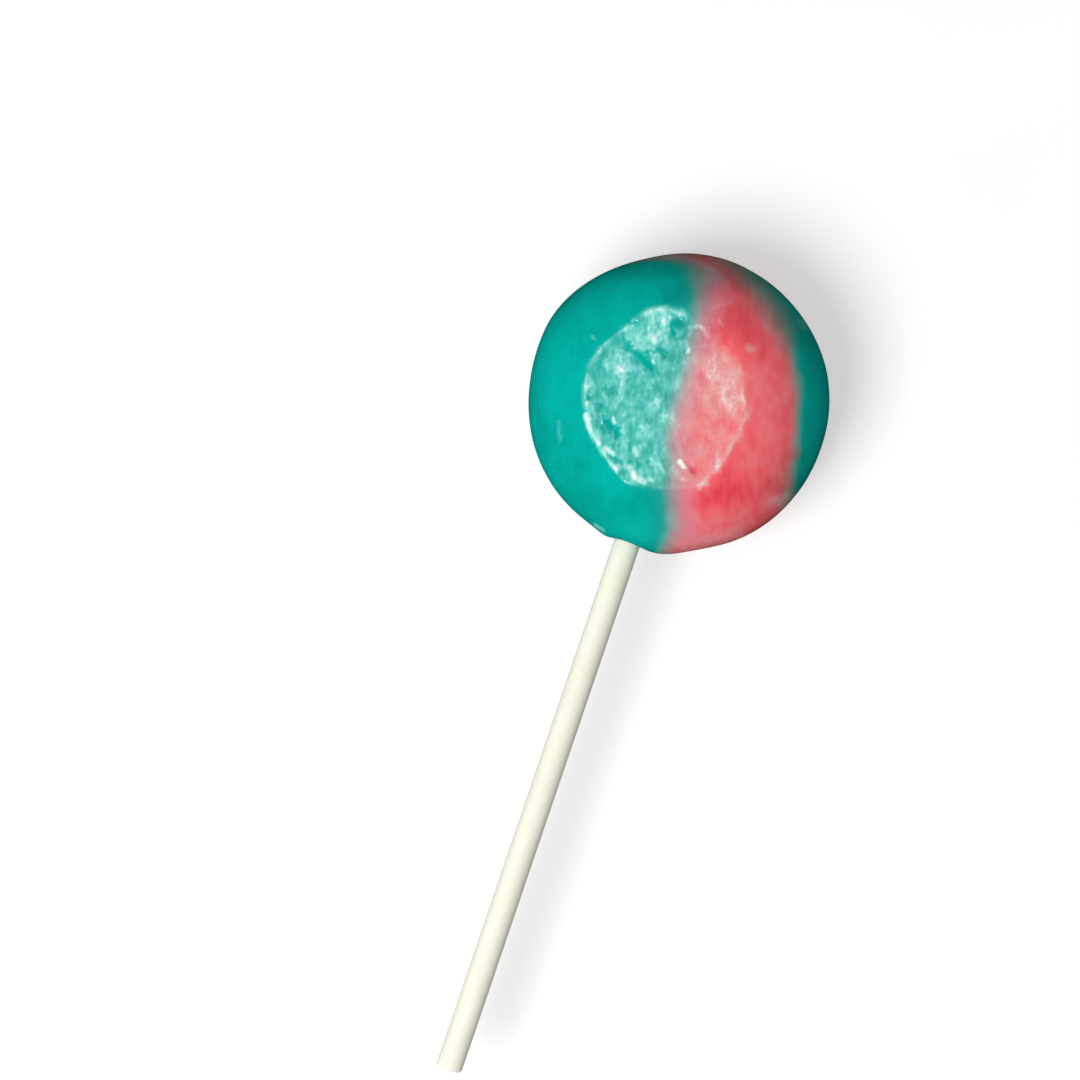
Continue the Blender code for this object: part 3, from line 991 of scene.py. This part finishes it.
def floor_material():
    """A plain white sweep: its faint glow, like a lit table's, keeps the shadow pale."""
    material, tree, shader = new_material("pale_floor")
    place = add(tree, "ShaderNodeTexCoord").outputs["Object"]
    values = {"Vector": place, "Scale": 40.0, "Detail": 2.0}
    patches = add(tree, "ShaderNodeTexNoise", values).outputs["Fac"]
    colour = blend(tree, remap(tree, patches, 0.3, 0.7), FLOOR_PALE, FLOOR_PALER)
    tree.links.new(colour, shader.inputs["Base Color"])
    shader.inputs["Roughness"].default_value = 0.9
    shader.inputs["Specular IOR Level"].default_value = 0.0
    shader.inputs["Emission Color"].default_value = (1, 1, 1, 1)
    shader.inputs["Emission Strength"].default_value = FLOOR_GLOW
    return material


# Floor, camera and lights

def build_floor():
    half = FLOOR_HALF_SIZE
    mesh = bpy.data.meshes.new("floor")
    corners = [(-half, -half, 0), (half, -half, 0), (half, half, 0), (-half, half, 0)]
    mesh.from_pydata(corners, [], [(0, 1, 2, 3)])
    floor = object_of(mesh, floor_material())
    floor.visible_diffuse = False
    floor.visible_glossy = False


def basis(first, second):
    """Three unit vectors square to each other, as columns: one along first, and the last square to both."""
    one = first.normalized()
    three = first.cross(second).normalized()
    return Matrix((one, three.cross(one), three)).transposed()


def aim(camera, places, pixels):
    """Turns the camera and sets its lens so that two places fall on two pixels of the picture."""
    views = [Vector(place) - camera.location for place in places]
    wanted = views[0].angle(views[1])
    half = PICTURE_SIZE / 2
    nearest, furthest = PICTURE_SIZE / 4, PICTURE_SIZE * 40
    for _ in range(AIM_STEPS):
        focal = (nearest + furthest) / 2
        rays = [Vector((x - half, half - y, -focal)) for x, y in pixels]
        if rays[0].angle(rays[1]) > wanted:
            nearest = focal
        else:
            furthest = focal
    turned = basis(*views) @ basis(*rays).transposed()
    camera.rotation_euler = turned.to_euler()
    camera.data.lens = focal / PICTURE_SIZE * camera.data.sensor_width


def build_camera():
    camera = bpy.data.objects.new("camera", bpy.data.cameras.new("camera"))
    bpy.context.scene.collection.objects.link(camera)
    head = Vector((0, 0, HALF_THICKNESS))
    stick_end = Vector((STICK_X, FREE_END, HALF_THICKNESS))
    side = Vector((math.cos(CAMERA_LEAN_TOWARDS), math.sin(CAMERA_LEAN_TOWARDS), 0))
    towards = side * math.sin(CAMERA_LEAN) + Vector((0, 0, math.cos(CAMERA_LEAN)))
    camera.location = head + towards * CAMERA_DISTANCE
    camera.data.clip_start = 0.01
    aim(camera, (head, stick_end), (HEAD_IN_PICTURE, STICK_END_IN_PICTURE))
    bpy.context.scene.camera = camera
    bpy.context.view_layer.update()
    return camera


def add_light(camera, name, direction, size, power):
    """A round soft light that faces the head."""
    data = bpy.data.lights.new(name, "AREA")
    data.shape = "DISK"
    data.size = size
    data.energy = power
    light = bpy.data.objects.new(name, data)
    bpy.context.scene.collection.objects.link(light)
    way = (camera.matrix_world.to_3x3() @ Vector(direction)).normalized()
    light.location = Vector((0, 0, HALF_THICKNESS)) + way * LIGHT_DISTANCE
    light.rotation_euler = way.to_track_quat("Z", "Y").to_euler()
    return light


def build_lights(camera):
    """A large light that gives no reflection, a small one that gives only that, and even light all round."""
    key = add_light(camera, "key", KEY_DIRECTION, KEY_SIZE, KEY_POWER)
    key.visible_glossy = False
    glint = add_light(camera, "glint", GLINT_DIRECTION, GLINT_SIZE, GLINT_POWER)
    glint.visible_diffuse = False
    world = bpy.data.worlds.new("studio")
    bpy.context.scene.world = world
    world.use_nodes = True
    background = world.node_tree.nodes["Background"]
    background.inputs["Color"].default_value = (1, 1, 1, 1)
    background.inputs["Strength"].default_value = ROOM_LIGHT
    world.cycles_visibility.glossy = False
    bpy.context.scene.view_settings.view_transform = "Standard"


head = build_head(sugar_material())
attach(head, "root")
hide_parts("candy_head")

stick = build_stick(paper_material())
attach(stick, "root")
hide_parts("paper_stick")
stick.visible_glossy = False

build_floor()
build_lights(build_camera())
